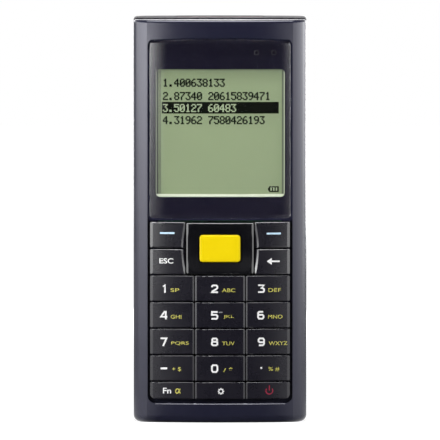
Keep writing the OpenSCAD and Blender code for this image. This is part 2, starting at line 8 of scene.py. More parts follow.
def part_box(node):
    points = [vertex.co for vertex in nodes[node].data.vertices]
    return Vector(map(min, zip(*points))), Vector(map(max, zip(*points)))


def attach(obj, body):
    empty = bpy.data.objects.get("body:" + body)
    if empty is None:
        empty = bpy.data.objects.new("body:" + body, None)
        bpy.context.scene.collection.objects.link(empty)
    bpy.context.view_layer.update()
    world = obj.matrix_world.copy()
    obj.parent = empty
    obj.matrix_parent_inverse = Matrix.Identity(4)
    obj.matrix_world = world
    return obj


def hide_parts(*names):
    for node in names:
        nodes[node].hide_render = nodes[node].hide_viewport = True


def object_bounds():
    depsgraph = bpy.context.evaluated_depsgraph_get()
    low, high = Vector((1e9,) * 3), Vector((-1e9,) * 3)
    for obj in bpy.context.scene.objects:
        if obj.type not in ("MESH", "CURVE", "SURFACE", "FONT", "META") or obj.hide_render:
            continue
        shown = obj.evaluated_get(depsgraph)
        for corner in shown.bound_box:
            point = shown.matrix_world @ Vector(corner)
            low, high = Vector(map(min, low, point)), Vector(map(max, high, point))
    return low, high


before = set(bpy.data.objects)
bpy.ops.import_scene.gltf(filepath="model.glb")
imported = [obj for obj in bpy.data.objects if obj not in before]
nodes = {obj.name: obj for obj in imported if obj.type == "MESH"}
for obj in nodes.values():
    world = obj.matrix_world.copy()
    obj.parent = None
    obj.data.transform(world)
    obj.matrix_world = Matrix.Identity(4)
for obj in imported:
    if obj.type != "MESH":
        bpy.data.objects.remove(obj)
cad_low, cad_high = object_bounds()
scene = bpy.context.scene
MM = 0.001


# ---- Shells ----
# The two halves of the body and the battery door are injection moulded in dark violet-grey
# polycarbonate. The tool has a fine eroded grain, so the shells shine softly and show no flow marks.


def node_adder(tree):
    """A function that adds a shader node to this tree and links or sets its inputs."""

    def add(kind, inputs=(), **settings):
        node = tree.nodes.new("ShaderNode" + kind)
        for key, value in settings.items():
            setattr(node, key, value)
        for socket, value in dict(inputs).items():
            if isinstance(value, bpy.types.NodeSocket):
                tree.links.new(value, node.inputs[socket])
            else:
                node.inputs[socket].default_value = value
        return node

    return add


def new_material(name, roughness, **sockets):
    """A material with these shader values, its shader, and a function that adds a node to it."""
    material = bpy.data.materials.new(name)
    material.use_nodes = True
    shader = material.node_tree.nodes["Principled BSDF"]
    shader.inputs["Roughness"].default_value = roughness
    for socket, value in sockets.items():
        shader.inputs[socket.replace("_", " ")].default_value = value
    return material, shader, node_adder(material.node_tree)


def grain(add, shader, size, depth, detail=2.0):
    """A fine even grain as bump on the shader; returns the place on the piece."""
    place = add("TexCoord").outputs["Object"]
    noise = add("TexNoise", {"Vector": place, "Scale": 1 / (size * MM), "Detail": detail, "Roughness": 0.5})
    bump = add("Bump", {"Height": noise.outputs["Fac"], "Distance": depth * MM, "Strength": 1.0})
    shader.id_data.links.new(bump.outputs["Normal"], shader.inputs["Normal"])
    return place


def mottle(add, shader, place, patch, colours, gloss):
    """Slow changes between two near colours and two near roughnesses."""
    link = shader.id_data.links.new
    noise = add("TexNoise", {"Vector": place, "Scale": 1 / (patch * MM), "Detail": 4.0, "Roughness": 0.6})
    ramp = add("MapRange", {"Value": noise.outputs["Fac"], "From Min": 0.3, "From Max": 0.7})
    mix = add("Mix", {"Factor": ramp.outputs["Result"], "A": (*colours[0], 1), "B": (*colours[1], 1)},
              data_type="RGBA")
    link(mix.outputs["Result"], shader.inputs["Base Color"])
    rough = add("MapRange", {"Value": noise.outputs["Fac"], "From Min": 0.3, "From Max": 0.7,
                             "To Min": gloss[0], "To Max": gloss[1]})
    link(rough.outputs["Result"], shader.inputs["Roughness"])


def surface(name, roughness, patch, colours, gloss, fine=None, **sockets):
    """A material for moulded, coated or printed pieces; lengths in millimetres.

    Its colour and its roughness change slowly, over patches of this size, between the two values
    of each pair. fine is the size and the depth of an even grain on top, and its detail where that
    isn't 2.
    """
    material, shader, add = new_material(name, roughness, **sockets)
    place = grain(add, shader, *fine) if fine else add("TexCoord").outputs["Object"]
    mottle(add, shader, place, patch, colours, gloss)
    return material


def finish(names, material):
    """Gives these CAD pieces this material."""
    for name in names:
        for slot in nodes[name].material_slots:
            slot.material = material


shell_plastic = surface("shell_plastic", 0.2, 14, ((0.011, 0.0115, 0.026), (0.014, 0.0145, 0.030)),
                        (0.18, 0.23), fine=(0.22, 0.002), Specular_Tint=(0.92, 0.92, 1, 1))
finish(["front_housing"], shell_plastic)

back_plastic = surface("back_plastic", 0.55, 14, ((0.022, 0.020, 0.025), (0.026, 0.024, 0.029)),
                       (0.5, 0.6), fine=(0.4, 0.012), Specular_IOR_Level=0.25)
finish(["rear_housing", "battery_door"], back_plastic)

latch_plastic = surface("latch_plastic", 0.42, 5, ((0.032, 0.032, 0.045), (0.038, 0.038, 0.052)),
                        (0.38, 0.46), fine=(0.3, 0.006))
finish(["door_latch"], latch_plastic)


# ---- Seals ----
# A silicone cord in the parting line and a foam gasket under the scan window keep dust out.
# Both are die-cut or moulded black rubber with a dry, slightly porous skin.

seal_rubber = surface("seal_rubber", 0.7, 2, ((0.014, 0.014, 0.015), (0.022, 0.022, 0.023)), (0.6, 0.8),
                      fine=(0.12, 0.01, 4.0))
finish(["housing_seal", "window_gasket"], seal_rubber)


# ---- Screws, strap pin and sheet steel ----
# The screws and the strap pin are zinc-plated steel wire goods; the shield can, the card
# socket and the backup cell are tinned or nickelled sheet. All show fine drawing marks.


def metal(name, colours, gloss, mark, stretch, depth):
    """Plated or cast metal with fine marks of this size and depth, drawn out along Z by stretch."""
    material, shader, add = new_material(name, 0.3, Metallic=1.0)
    link = shader.id_data.links.new
    place = add("TexCoord").outputs["Object"]
    drawn = add("Mapping", {"Vector": place, "Scale": (1, 1, 1 / stretch)}).outputs["Vector"]
    marks = add("TexNoise", {"Vector": drawn, "Scale": 1 / (mark * MM), "Detail": 3.0})
    bump = add("Bump", {"Height": marks.outputs["Fac"], "Distance": depth * MM})
    link(bump.outputs["Normal"], shader.inputs["Normal"])
    mottle(add, shader, drawn, mark * 6, colours, gloss)
    return material


zinc = metal("zinc", ((0.56, 0.57, 0.58), (0.66, 0.66, 0.65)), (0.26, 0.38), 0.2, 6, 0.003)
tin = metal("tin", ((0.62, 0.63, 0.64), (0.7, 0.7, 0.7)), (0.24, 0.36), 0.3, 8, 0.002)
finish(["housing_screws", "board_screws", "strap_pin"], zinc)
finish(["shield_can", "memory_card_socket", "backup_cell"], tin)


# ---- Display lens ----
# The lens is one piece of clear acrylic with polished faces and a small polished bevel all
# round. Its black surround is printed on the film behind it.


def dress(piece, material, body):
    """Puts the material on a modelled piece, and lets it move with its body."""
    piece.data.materials.clear()
    piece.data.materials.append(material)
    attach(piece, body)


def clear_plastic(name, tint, roughness, smear):
    """Clear plastic that lets lamps through: glass to the eye, a plain tint to shadow rays."""
    material, shader, add = new_material(name, roughness, Transmission_Weight=1.0, IOR=1.49)
    shader.inputs["Base Color"].default_value = (*tint, 1)
    tree = material.node_tree
    place = add("TexCoord").outputs["Object"]
    haze = add("TexNoise", {"Vector": place, "Scale": 1 / (9 * MM), "Detail": 5.0})
    gloss = add("MapRange", {"Value": haze.outputs["Fac"], "From Min": 0.35, "From Max": 0.7,
                             "To Min": roughness, "To Max": roughness + smear})
    tree.links.new(gloss.outputs["Result"], shader.inputs["Roughness"])
    shadow = add("LightPath").outputs["Is Shadow Ray"]
    through = add("BsdfTransparent", {"Color": (*[math.sqrt(c) for c in tint], 1)})
    mix = add("MixShader", {"Fac": shadow})
    tree.links.new(shader.outputs["BSDF"], mix.inputs[1])
    tree.links.new(through.outputs["BSDF"], mix.inputs[2])
    tree.links.new(mix.outputs["Shader"], tree.nodes["Material Output"].inputs["Surface"])
    return material


lens_low, lens_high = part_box("display_lens")
face_y = lens_low.y
face_r = 120 * MM


def crown(x):
    """Depth of the crowned face at x."""
    return face_y + face_r - math.sqrt(face_r**2 - x**2)


# the flat back keeps clear of the film; the foot has small corners, the arched head large ones
lens_air = 0.03 * MM
lens_foot = 0.8 * MM
lens_corner = 2.4 * MM
arch_r = 360 * MM
lens_half = lens_high.x


def lens_edge(x, corner):
    """How far a rounded corner cuts in at x from the middle."""
    into = max(abs(x) - (lens_half - corner), 0)
    return corner - math.sqrt(max(corner**2 - into**2, 0))


bpy.ops.object.select_all(action="DESELECT")
bpy.ops.mesh.primitive_grid_add(x_subdivisions=96, y_subdivisions=48, size=1)
lens = bpy.context.object
lens.name = lens.data.name = "lens_clear"
for vertex in lens.data.vertices:
    # the columns of the grid lie closer together towards the rounded corners
    x = lens_half * (0.4 * math.sin(vertex.co.x * math.pi) + 1.2 * vertex.co.x)
    bottom = lens_low.z + lens_edge(x, lens_foot)
    arch = lens_high.z - arch_r + math.sqrt(arch_r**2 - x**2)
    top = min(arch, lens_high.z - lens_edge(x, lens_corner))
    vertex.co = Vector((x, crown(x), bottom + (vertex.co.y + 0.5) * (top - bottom)))
# the sheet is drawn out backwards, and the drawn part laid flat
bpy.ops.object.mode_set(mode="EDIT")
bpy.ops.mesh.select_all(action="SELECT")
bpy.ops.mesh.extrude_region_move(TRANSFORM_OT_translate={"value": (0, 1 * MM, 0)})
bpy.ops.object.mode_set(mode="OBJECT")
for vertex in lens.data.vertices:
    if vertex.co.y > crown(vertex.co.x) + 0.5 * MM:
        vertex.co.y = lens_high.y - lens_air
bpy.ops.object.mode_set(mode="EDIT")
bpy.ops.mesh.select_all(action="SELECT")
bpy.ops.mesh.normals_make_consistent(inside=False)
bpy.ops.object.mode_set(mode="OBJECT")
# polished bevel round the front
bevel = lens.modifiers.new("bevel", "BEVEL")
bevel.width = 0.2 * MM
bevel.segments = 3
bevel.limit_method = "ANGLE"
bevel.angle_limit = math.radians(50)
bpy.ops.object.modifier_apply(modifier="bevel")
bpy.ops.object.shade_smooth_by_angle(angle=math.radians(35))
acrylic = clear_plastic("acrylic", (0.96, 0.965, 0.97), 0.015, 0.02)
dress(lens, acrylic, "terminal")
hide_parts("display_lens")


# ---- Printed film ----
# Black ink on the back of a polyester film leaves the clear window and two light holes.
# Two coats hide everything behind; the ink is smooth, with the faintest screen texture.

black_ink = surface("black_ink", 0.35, 6, ((0.006, 0.005, 0.013), (0.008, 0.007, 0.015)), (0.3, 0.4),
                    fine=(0.08, 0.001), Specular_IOR_Level=0.1)
finish(["lens_film"], black_ink)


def stroke(points, width):
    """A flat line of this width through points (x, z), with mitred corners."""
    spots = [Vector(point) for point in points]
    last = len(spots) - 1
    closed = (spots[0] - spots[-1]).length < 1e-9
    bpy.ops.object.select_all(action="DESELECT")
    bpy.ops.mesh.primitive_grid_add(x_subdivisions=last, y_subdivisions=1, size=2)
    line = bpy.context.object
    for vertex in line.data.vertices:
        i = round((vertex.co.x + 1) / 2 * last)
        before = spots[i] - spots[i - 1] if i > 0 else spots[0] - spots[-2]
        after = spots[i + 1] - spots[i] if i < last else spots[1] - spots[0]
        if not closed and i in (0, last):
            before = after = after if i == 0 else before
        sides = [Vector((-step.y, step.x)).normalized() for step in (before, after)]
        mitre = (sides[0] + sides[1]) / max(1 + sides[0].dot(sides[1]), 0.6)
        spot = spots[i] + mitre * width / 2 * (1 if vertex.co.y > 0 else -1)
        vertex.co = Vector((spot.x, face_y, spot.y))
    if closed:
        bpy.ops.object.mode_set(mode="EDIT")
        bpy.ops.mesh.select_all(action="SELECT")
        bpy.ops.mesh.remove_doubles(threshold=1e-7)
        bpy.ops.object.mode_set(mode="OBJECT")
    return line


# a second pass of ink gives the clear window its crisp edge and its rounded corners
window_left, window_right = -21.48 * MM, 21.65 * MM
window_foot, window_head = 76.02 * MM, 119.02 * MM
window_round = 1.4 * MM
ink_band = 0.5 * MM
ink_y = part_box("lens_film")[0].y - 0.012 * MM
inner_left, inner_right = window_left + window_round, window_right - window_round
inner_foot, inner_head = window_foot + window_round, window_head - window_round
ink_path = []
for start, centre in ((0, (inner_right, inner_head)), (90, (inner_left, inner_head)),
                      (180, (inner_left, inner_foot)), (270, (inner_right, inner_foot))):
    for turn in range(start, start + 91, 15):
        out = Vector((math.cos(math.radians(turn)), math.sin(math.radians(turn))))
        ink_path.append(Vector(centre) + (window_round + ink_band / 2) * out)
ink_path.append(ink_path[0])
window_edge = stroke(ink_path, ink_band)
window_edge.name = window_edge.data.name = "window_edge"
for vertex in window_edge.data.vertices:
    vertex.co.y = ink_y
dress(window_edge, black_ink, "terminal")


# ---- Display ----
# The liquid crystal cell is a grey-green reflective glass in an off-white moulded frame, lit
# from behind by a clear light guide. Its dots have a fine even pitch.

panel_glass, shader, add = new_material("panel_glass", 0.4)
link = shader.id_data.links.new
place = add("TexCoord").outputs["Object"]
upright = add("Mapping", {"Vector": place, "Rotation": (math.radians(90), 0, 0)}).outputs["Vector"]
dot_pitch = 0.27 * MM
dots = add("TexBrick", {"Vector": upright, "Scale": 1.0, "Mortar Size": 0.02 * MM,
                        "Brick Width": dot_pitch, "Row Height": dot_pitch,
                        "Color1": (0.21, 0.26, 0.145, 1), "Color2": (0.22, 0.27, 0.15, 1),
                        "Mortar": (0.20, 0.25, 0.14, 1)}, offset=0.0)
link(dots.outputs["Color"], shader.inputs["Base Color"])
haze = add("TexNoise", {"Vector": place, "Scale": 1 / (8 * MM), "Detail": 3.0})
gloss = add("MapRange", {"Value": haze.outputs["Fac"], "To Min": 0.35, "To Max": 0.5})
link(gloss.outputs["Result"], shader.inputs["Roughness"])
finish(["lcd_panel"], panel_glass)

pale_plastic = surface("pale_plastic", 0.5, 8, ((0.50, 0.56, 0.42), (0.54, 0.60, 0.46)), (0.45, 0.55),
                       fine=(0.3, 0.005))
finish(["lcd_frame"], pale_plastic)

light_guide = surface("light_guide", 0.3, 10, ((0.80, 0.82, 0.76), (0.86, 0.88, 0.82)), (0.25, 0.4),
                      fine=(0.4, 0.01))
finish(["lcd_backlight"], light_guide)

# amber film over copper tracks
flex_film, shader, add = new_material("flex_film", 0.35)
place = add("TexCoord").outputs["Object"]
tracks = add("TexWave", {"Vector": place, "Scale": 1 / (12 * MM), "Distortion": 0.0}, bands_direction="X")
mix = add("Mix", {"Factor": tracks.outputs["Fac"], "A": (0.35, 0.16, 0.03, 1),
                  "B": (0.60, 0.33, 0.09, 1)}, data_type="RGBA")
shader.id_data.links.new(mix.outputs["Result"], shader.inputs["Base Color"])
finish(["lcd_flex"], flex_film)

# the two status lights are smoked epoxy, dark while they are off
led_epoxy = surface("led_epoxy", 0.4, 1, ((0.006, 0.005, 0.009), (0.009, 0.008, 0.012)), (0.35, 0.5),
                    fine=(0.2, 0.002), Specular_IOR_Level=0.05)
finish(["status_leds"], led_epoxy)


# ---- Display border ----
# Round the shown field, thin flat layers on the glass paint the shade of the window's edge: a darker margin
# along the top and the sides, and a painted shadow line on each side, darker on the left. A lighter strip
# lies at the outer edge of each side. Below the field, a pale ledge of the frame is painted brighter than
# the frame, as light falling on it from above. All are thin flat layers on the glass.


def plane(x0, x1, z0, z1, y):
    """A flat sheet that faces the front."""
    bpy.ops.object.select_all(action="DESELECT")
    bpy.ops.mesh.primitive_plane_add(size=1)
    sheet = bpy.context.object
    for vertex in sheet.data.vertices:
        vertex.co = Vector((x0 if vertex.co.x < 0 else x1, y, z0 if vertex.co.y < 0 else z1))
    return sheet


def joined(sheets, name):
    """These sheets as one piece."""
    bpy.ops.object.select_all(action="DESELECT")
    for sheet in sheets:
        sheet.select_set(True)
    bpy.context.view_layer.objects.active = sheets[0]
    bpy.ops.object.join()
    sheets[0].name = sheets[0].data.name = name
    return sheets[0]


panel_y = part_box("lcd_panel")[0].y
border_y = panel_y - 0.015 * MM
# the opening of the frame, and within it the field between the upper margin and the ledge
opening_x = 21.4 * MM
opening_foot, opening_head = 76.5 * MM, 119 * MM
field_foot, field_head = 76.95 * MM, 118.6 * MM
# the side of each upright strip that is nearer the middle
left_edge, left_shadow_line, left_margin = -20.97 * MM, -20.63 * MM, -19.6 * MM
right_shadow_line, right_margin, right_edge = 20.6 * MM, 20.93 * MM, 21.2 * MM


def upright_strip(x0, x1):
    """A strip beside the field, as high as the field."""
    return plane(x0, x1, field_foot, field_head, border_y)


# the darker margin along the top and the sides is painted shade from the window's edge
border = joined([upright_strip(left_shadow_line, left_margin), upright_strip(right_margin, right_edge),
                 plane(-opening_x, opening_x, field_head, opening_head, border_y)], "display_border")
border_edge = joined([upright_strip(-opening_x, left_edge), upright_strip(right_edge, opening_x)],
                     "display_border_edge")
# the dark line on each side is a painted shadow of the glass edge, darker on the left than on the right
painted_shadow_left = joined([upright_strip(left_edge, left_shadow_line)], "display_painted_shadow_left")
painted_shadow_right = joined([upright_strip(right_shadow_line, right_margin)], "display_painted_shadow_right")
# the ledge is the pale frame, painted brighter than the frame as light falling on it from above
ledge = joined([plane(-opening_x, opening_x, opening_foot, field_foot, border_y)], "display_painted_lit_ledge")
for layer, slot_name, name, dark, light in (
        (border, "lcd_glass", "margin_painted_shade", (0.135, 0.165, 0.105), (0.15, 0.18, 0.115)),
        (border_edge, "lcd_glass", "border_edge_glass", (0.18, 0.21, 0.15), (0.20, 0.23, 0.165)),
        (painted_shadow_left, "lcd_glass", "painted_shadow_black", (0.012, 0.014, 0.012), (0.02, 0.022, 0.018)),
        (painted_shadow_right, "lcd_glass", "painted_shadow_grey", (0.085, 0.1, 0.07), (0.1, 0.115, 0.08)),
        (ledge, "pale_plastic", "ledge_painted_light", (0.56, 0.58, 0.48), (0.62, 0.64, 0.54))):
    material = surface(name, 0.45, 4, (dark, light), (0.4, 0.5), Specular_IOR_Level=0.2)
    dress(layer, material, "terminal")


# ---- Shown dots ----
# The characters on the display are groups of dark square dots, five wide and seven high. The
# third line is picked out: its dots are clear and the bar round them is dark.

DOT_ROWS = {
    "0": "01110 10001 10011 10101 11001 10001 01110",
    "1": "00100 01100 00100 00100 00100 00100 01110",
    "2": "01110 10001 00001 00110 01000 10000 11111",
    "3": "11111 00010 00100 00010 00001 10001 01110",
    "4": "00010 00110 01010 10010 11111 00010 00010",
    "5": "11111 10000 11110 00001 00001 10001 01110",
    "6": "00110 01000 10000 11110 10001 10001 01110",
    "7": "11111 00001 00010 00100 01000 01000 01000",
    "8": "01110 10001 10001 01110 10001 10001 01110",
    "9": "01110 10001 10001 01111 00001 00010 01100",
    ".": "00000 00000 00000 00000 00000 01100 01100",
}
DOTS_WIDE, DOTS_HIGH = 5, 7
# pitch of the dots across and down, and of the characters
dot_w = 0.315 * MM
dot_h = 0.385 * MM
cell_w = 1.89 * MM


def dot_character(character, left, top, y):
    """One character as a sheet of dots that run together, its top left corner at left, top."""
    # the sheet's columns are half a pitch wide, and each dot covers three of them
    columns = 2 * DOTS_WIDE + 1
    bpy.ops.object.select_all(action="DESELECT")
    bpy.ops.mesh.primitive_grid_add(x_subdivisions=columns, y_subdivisions=DOTS_HIGH, size=1)
    sheet = bpy.context.object
    shown = DOT_ROWS[character].split()
    bpy.ops.object.mode_set(mode="EDIT")
    bpy.ops.mesh.select_all(action="DESELECT")
    mesh = bmesh.from_edit_mesh(sheet.data)
    for face in mesh.faces:
        spot = face.calc_center_median()
        half = int((spot.x + 0.5) * columns)
        row = shown[int((0.5 - spot.y) * DOTS_HIGH)]
        face.select = "1" not in (row + "0")[half // 2] + ("0" + row)[(half + 1) // 2]
    bmesh.update_edit_mesh(sheet.data)
    bpy.ops.mesh.delete(type="FACE")
    bpy.ops.object.mode_set(mode="OBJECT")
    wide = columns / 2 * dot_w
    high = DOTS_HIGH * dot_h
    for vertex in sheet.data.vertices:
        vertex.co = Vector((left + (vertex.co.x + 0.5) * wide, y, top - (0.5 - vertex.co.y) * high))
    return sheet


def dot_line(text, left, top, y):
    """A line of characters; a space leaves a cell empty."""
    return [dot_character(c, left + i * cell_w, top, y) for i, c in enumerate(text) if c != " "]


# depths of the three layers of shown marks, from the foil outwards: the painted shadow of the dots, the
# dark dots and the clear dots
shadow_y = panel_y - 0.01 * MM
dark_y = panel_y - 0.02 * MM
clear_y = panel_y - 0.05 * MM
text_left = -19.05 * MM
line_tops = [115.8 * MM, 111.3 * MM, 107.25 * MM, 103.2 * MM]
dark_dots = (
    dot_line("1.400638133", text_left, line_tops[0], dark_y)
    + dot_line("2.87340 20615839471", text_left, line_tops[1], dark_y)
    + dot_line("4.31962 7580426193", text_left, line_tops[3], dark_y)
    + [plane(-19.35 * MM, 19.5 * MM, 104.1 * MM, 107.95 * MM, dark_y)]  # bar round the third line
)
# charge gauge in the lower right corner: a dark cell with its pole and three clear bars
gauge_x, gauge_wide = 16.3 * MM, 3.2 * MM
gauge_z, gauge_high = 77.65 * MM, 1.9 * MM
pole_wide = 0.35 * MM
dark_dots.append(plane(gauge_x, gauge_x + gauge_wide, gauge_z, gauge_z + gauge_high, dark_y))
dark_dots.append(plane(gauge_x - pole_wide, gauge_x, gauge_z + 0.5 * MM, gauge_z + 1.4 * MM, dark_y))
dark_dots = joined(dark_dots, "dark_dots")
clear_dots = dot_line("3.50127 60483", text_left, line_tops[2], clear_y)
for i in range(3):
    bar_x = gauge_x + (0.45 + 0.9 * i) * MM
    clear_dots.append(plane(bar_x, bar_x + 0.5 * MM, gauge_z + 0.4 * MM, gauge_z + 1.5 * MM, clear_y))
clear_dots = joined(clear_dots, "clear_dots")

dark_crystal = surface("dark_crystal", 0.45, 3, ((0.002, 0.003, 0.002), (0.004, 0.005, 0.003)),
                       (0.4, 0.5), Specular_IOR_Level=0.05)
dress(dark_dots, dark_crystal, "terminal")

# the dots stand a little in front of the mirror foil. Their faint shadow on it is painted, as a dark green
# copy of them shifted down and to the right
bpy.ops.object.select_all(action="DESELECT")
painted_dot_shadows = dark_dots.copy()
painted_dot_shadows.data = dark_dots.data.copy()
painted_dot_shadows.data.materials.clear()
painted_dot_shadows.name = painted_dot_shadows.data.name = "painted_dot_shadows"
scene.collection.objects.link(painted_dot_shadows)
shadow_shift = Vector((0.12 * MM, shadow_y - dark_y, -0.12 * MM))
for vertex in painted_dot_shadows.data.vertices:
    vertex.co += shadow_shift
painted_shadow_green = surface("painted_shadow_green", 0.5, 3, ((0.08, 0.10, 0.055), (0.09, 0.115, 0.065)),
                       (0.45, 0.55), Specular_IOR_Level=0.2)
dress(painted_dot_shadows, painted_shadow_green, "terminal")

clear_crystal = surface("clear_crystal", 0.45, 3, ((0.27, 0.33, 0.20), (0.30, 0.36, 0.22)), (0.4, 0.5))
dress(clear_dots, clear_crystal, "terminal")


# ---- Keys ----
# Each key is a hard cap moulded in dark grey and coated with a clear hard lacquer, so that
# its rounded edges glint. The four keys beside the ring have the thicker coat.


def cap_plastic(name, coat, coat_ior):
    """Dark cap plastic under a clear lacquer of this strength."""
    return surface(name, 0.3, 9, ((0.008, 0.0075, 0.013), (0.011, 0.010, 0.016)), (0.24, 0.32),
                   fine=(0.25, 0.001), Specular_IOR_Level=0.3, Coat_Weight=coat,
                   Coat_Roughness=0.08, Coat_IOR=coat_ior)


side_keys = ["key_soft_left", "key_soft_right", "key_escape", "key_back"]
finish([name for name in nodes if name.startswith("key_")], cap_plastic("key_plastic", 0.55, 1.5))
finish(side_keys, cap_plastic("side_key_plastic", 1.0, 1.6))


# ---- Legends ----
# The legends are thin layers of ink on the caps: white for the first meaning, yellow for
# the letters, pale blue for the soft keys and red for power.


def ink(name, colour, other):
    """Opaque printing ink with slight changes in density."""
    return surface(name, 0.45, 0.8, (colour, other), (0.4, 0.5), fine=(0.1, 0.002))


white_ink = ink("white_ink", (0.80, 0.80, 0.80), (0.88, 0.88, 0.88))
yellow_ink = ink("yellow_ink", (0.56, 0.52, 0.09), (0.64, 0.60, 0.12))
blue_ink = ink("blue_ink", (0.50, 0.70, 0.88), (0.60, 0.80, 0.94))
red_ink = ink("red_ink", (0.25, 0.006, 0.03), (0.31, 0.010, 0.042))

ink_lift = 0.035 * MM


def lettering(text, x0, x1, z, height, bold=0.0):
    """A word between x0 and x1 with its foot at z, as a flat mesh."""
    bpy.ops.object.select_all(action="DESELECT")
    bpy.ops.object.text_add()
    word = bpy.context.object
    word.data.body = text
    word.data.offset = bold
    word.data.resolution_u = 4
    bpy.ops.object.convert(target="MESH")
    word = bpy.context.object
    low = Vector((min(v.co.x for v in word.data.vertices), min(v.co.y for v in word.data.vertices)))
    high = Vector((max(v.co.x for v in word.data.vertices), max(v.co.y for v in word.data.vertices)))
    for vertex in word.data.vertices:
        across = (vertex.co.x - low.x) / (high.x - low.x)
        up = (vertex.co.y - low.y) / (high.y - low.y)
        vertex.co = Vector((x0 + across * (x1 - x0), face_y, z + up * height))
    return word


def middle(key):
    """Height of the key's middle."""
    low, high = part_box(key)
    return (low.z + high.z) / 2


# centre lines of the digits in a box one wide and one high; ROUND is the cut at their corners
ROUND = 0.2
DIGIT_LINES = {
    "0": [[(ROUND, 0), (1 - ROUND, 0), (1, ROUND), (1, 1 - ROUND), (1 - ROUND, 1), (ROUND, 1),
           (0, 1 - ROUND), (0, ROUND), (ROUND, 0)]],
    "1": [[(0.3, 0.78), (0.66, 1.0), (0.66, -0.12)]],
    "2": [[(0, 0.74), (0.03, 0.9), (0.2, 1), (0.8, 1), (1, 0.86), (1, 0.62), (0.86, 0.48), (0.1, 0.14),
           (0, 0), (1.12, 0)]],
    "3": [[(-0.08, 1), (1, 1), (0.5, 0.6), (0.82, 0.56), (1, 0.42), (1, 0.16), (0.82, 0), (-0.1, 0)]],
    "4": [[(0.86, -0.12), (0.86, 1), (0.6, 1), (-0.02, 0.26), (1.14, 0.26)]],
    "5": [[(1.06, 1), (0, 1), (0, 0.58), (0.82, 0.58), (1, 0.44), (1, 0.15), (0.82, 0), (-0.12, 0)]],
    "6": [[(0.94, 1), (ROUND, 1), (0, 1 - ROUND), (0, ROUND), (ROUND, 0), (0.82, 0), (1, 0.15), (1, 0.42),
           (0.82, 0.56), (0, 0.56)]],
    "7": [[(-0.1, 1), (1, 1), (0.36, -0.12)]],
    "8": [[(0.2, 0), (0.8, 0), (1, 0.14), (1, 0.42), (0.8, 0.54), (0.2, 0.54), (0, 0.42), (0, 0.14),
           (0.2, 0)],
          [(0.2, 0.54), (0.06, 0.66), (0.06, 0.88), (0.22, 1), (0.78, 1), (0.94, 0.88), (0.94, 0.66),
           (0.8, 0.54)]],
    "9": [[(0.06, 0), (1 - ROUND, 0), (1, ROUND), (1, 1 - ROUND), (1 - ROUND, 1), (0.18, 1), (0, 0.85),
           (0, 0.58), (0.18, 0.44), (1, 0.44)]],
}


def digit(character, x, z, wide, high, width):
    """A digit whose outline is wide by high, its lower left corner at x, z."""
    half = width / 2
    return [stroke([(x + half + u * (wide - width), z + half + v * (high - width)) for u, v in line], width)
            for line in DIGIT_LINES[character]]


def ring(x, z, outer, inner):
    """A flat ring."""
    bpy.ops.object.select_all(action="DESELECT")
    bpy.ops.mesh.primitive_circle_add(vertices=24, radius=outer, fill_type="NGON")
    sheet = bpy.context.object
    bpy.ops.object.mode_set(mode="EDIT")
    bpy.ops.mesh.select_all(action="SELECT")
    bpy.ops.mesh.inset(thickness=outer - inner)
    bpy.ops.mesh.delete(type="FACE")
    bpy.ops.object.mode_set(mode="OBJECT")
    for vertex in sheet.data.vertices:
        vertex.co = Vector((x + vertex.co.x, face_y, z + vertex.co.y))
    return sheet


def legend(key, sheets, material, kind):
    """Joins flat sheets into one printed legend that moves with its key."""
    piece = joined(sheets, f"{key}_{kind}")
    bpy.ops.object.mode_set(mode="EDIT")
    bpy.ops.mesh.select_all(action="SELECT")
    bpy.ops.mesh.quads_convert_to_tris()
    bpy.ops.object.mode_set(mode="OBJECT")
    for vertex in piece.data.vertices:
        vertex.co.y = crown(vertex.co.x) - ink_lift
    dress(piece, material, key)


digit_h = 2.87 * MM
digit_w = 2.4 * MM
digit_line = 0.58 * MM
letter_h = 1.25 * MM
# key, digit and the digit's left edge, letters and their left and right edge
number_keys = [
    ("key_1", "1", -20.0, "SP", -16.7, -13.7), ("key_2", "2", -3.0, "ABC", 0.7, 5.1),
    ("key_3", "3", 12.7, "DEF", 16.3, 20.5), ("key_4", "4", -20.1, "GHI", -16.6, -13.0),
    ("key_5", "5", -3.0, "JKL", 1.2, 4.7), ("key_6", "6", 12.5, "MNO", 16.2, 21.0),
    ("key_7", "7", -20.1, "PQRS", -16.4, -10.5), ("key_8", "8", -3.0, "TUV", 0.7, 4.9),
    ("key_9", "9", 12.7, "WXYZ", 16.4, 22.7), ("key_0", "0", -3.0, "/", 1.15, 2.0),
]
for key, figure, figure_x, letters, x0, x1 in number_keys:
    foot = middle(key) - 1.5 * MM
    legend(key, digit(figure, figure_x * MM, foot, digit_w, digit_h, digit_line), white_ink, "digit")
    legend(key, [lettering(letters, x0 * MM, x1 * MM, foot + 0.3 * MM, letter_h)], yellow_ink, "letters")

mid_z = middle("key_0")
legend("key_0", [lettering("*", 2.95 * MM, 4.25 * MM, mid_z - 0.95 * MM, 1.3 * MM, 0.03)],
       yellow_ink, "star")

# the pip by which a thumb finds the middle key; its light grey is a painted highlight on the cap's dark
# plastic
pip_size = Vector((1.3, 0.24, 0.4)) * MM
pip_middle = Vector((0.2 * MM, face_y + 0.02 * MM, middle("key_5") + 0.95 * MM))
bpy.ops.object.select_all(action="DESELECT")
bpy.ops.mesh.primitive_cube_add(size=1)
pip = bpy.context.object
pip.name = pip.data.name = "key_5_pip"
for vertex in pip.data.vertices:
    vertex.co = pip_middle + vertex.co * pip_size
bevel = pip.modifiers.new("bevel", "BEVEL")
bevel.width = 0.1 * MM
bevel.segments = 3
bpy.ops.object.modifier_apply(modifier="bevel")
bpy.ops.object.shade_smooth_by_angle(angle=math.radians(40))
# light grey painted on the pip as its highlight
pip_highlight_grey = surface("pip_highlight_grey", 0.35, 1, ((0.22, 0.22, 0.23), (0.28, 0.28, 0.29)), (0.3, 0.4),
                      fine=(0.1, 0.002))
dress(pip, pip_highlight_grey, "key_5")

